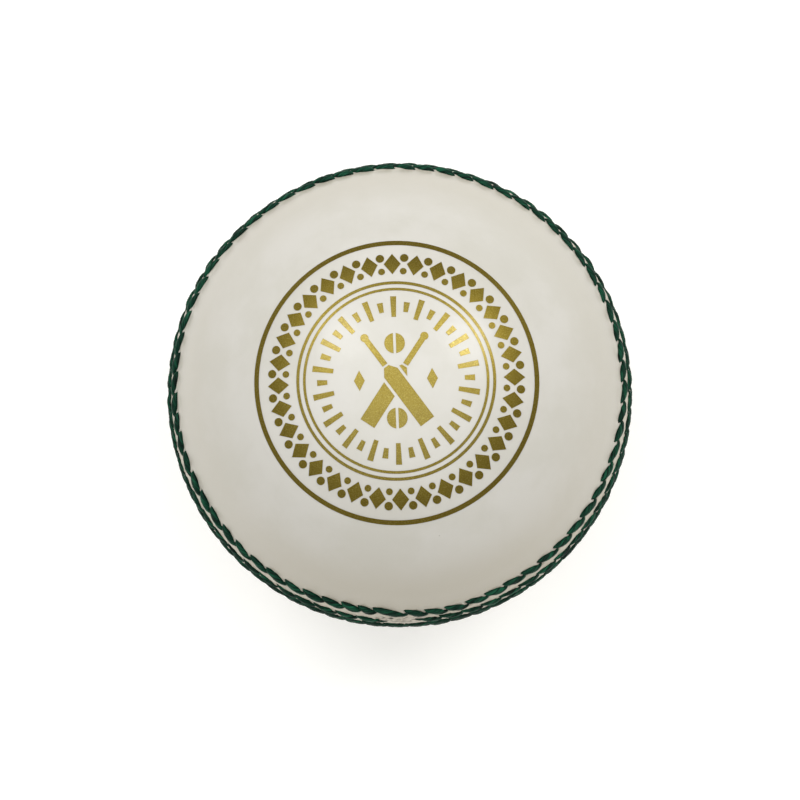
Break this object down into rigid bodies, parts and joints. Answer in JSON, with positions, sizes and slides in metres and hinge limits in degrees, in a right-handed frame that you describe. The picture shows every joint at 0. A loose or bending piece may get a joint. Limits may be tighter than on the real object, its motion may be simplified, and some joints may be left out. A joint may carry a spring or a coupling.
{
  "type": "cricket ball",
  "caption": "White leather cricket ball with a raised green stitched seam, a gold foil seal stamped on one pole and a wound cork core.",
  "frame": {"origin": "centre of the ball", "axes": "+Z through the pole that carries the stamped seal, with the seam in the XY plane; +Y is the top of the seal; the ball rests on its plain pole, at -Z"},
  "size_m": [0.0728, 0.0728, 0.071],
  "materials": {
    "cork": "matte",
    "yarn": "matte",
    "leather": "satin",
    "seam_thread": "satin",
    "foil": "satin"
  },
  "bodies": {
    "root": {"cork_nucleus": "cork", "cork_strips_1": "cork", "cork_strips_2": "cork", "cork_strips_3": "cork", "cork_strips_4": "cork", "yarn_winding_1": "yarn", "yarn_winding_2": "yarn", "yarn_winding_3": "yarn", "yarn_winding_4": "yarn", "yarn_winding_5": "yarn", "cover_front": "leather", "cover_back": "leather", "seam_thread_front_outer": "seam_thread", "seam_thread_front_middle": "seam_thread", "closing_thread": "seam_thread", "seam_thread_back_middle": "seam_thread", "seam_thread_back_outer": "seam_thread", "foil_outer_ring": "foil", "foil_border": "foil", "foil_inner_rings": "foil", "foil_rays": "foil", "foil_centre_motif": "foil"}
  },
  "joints": []
}
